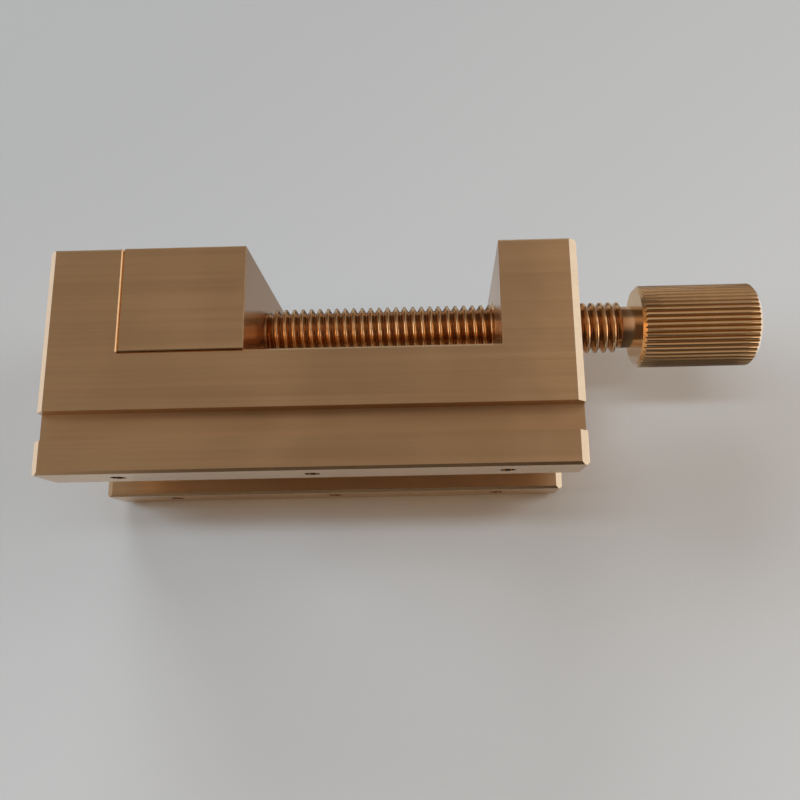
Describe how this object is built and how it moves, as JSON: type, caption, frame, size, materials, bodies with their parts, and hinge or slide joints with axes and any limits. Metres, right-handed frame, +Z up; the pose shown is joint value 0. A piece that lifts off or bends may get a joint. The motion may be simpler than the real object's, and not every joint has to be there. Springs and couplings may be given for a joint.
{
  "type": "miniature machine vise",
  "caption": "Small brass machine vise with clamping grooves along its sides, fixing holes in its base rails and a guided jaw moved by a captive lead screw with a knurled knob.",
  "frame": {"origin": "middle of the body's underside, which is the middle of the base hole pattern", "axes": "+X along the lead screw towards the knob, +Z up from the base rails towards the jaw tops"},
  "size_m": [0.0778, 0.025, 0.024],
  "materials": {
    "brass_milled": "fine-ground satin",
    "brass_turned": "turned, bright, slightly coppery",
    "steel": "plain"
  },
  "bodies": {
    "base": {"vise_body": "brass_milled"},
    "jaw": {"moving_jaw": "brass_milled", "keeper_plate": "brass_milled", "keeper_screw_inner": "steel", "keeper_screw_outer": "steel", "screw_pin_front": "steel", "screw_pin_back": "steel"},
    "screw": {"lead_screw": "brass_turned", "knurled_knob": "brass_turned"}
  },
  "joints": [
    {"name": "jaw_slide", "type": "slide", "parent": "base", "child": "jaw", "axis": [1, 0, 0], "range_m": [0, 0.026]},
    {"name": "screw_turn", "type": "hinge", "parent": "jaw", "child": "screw", "pos_m": [0.02, 0, 0.0181], "axis": [1, 0, 0], "range_deg": [0, 9360]}
  ],
  "couplings": [
    {"joint": "screw_turn", "follows": "jaw_slide", "rad_per_m": 6283.2}
  ]
}
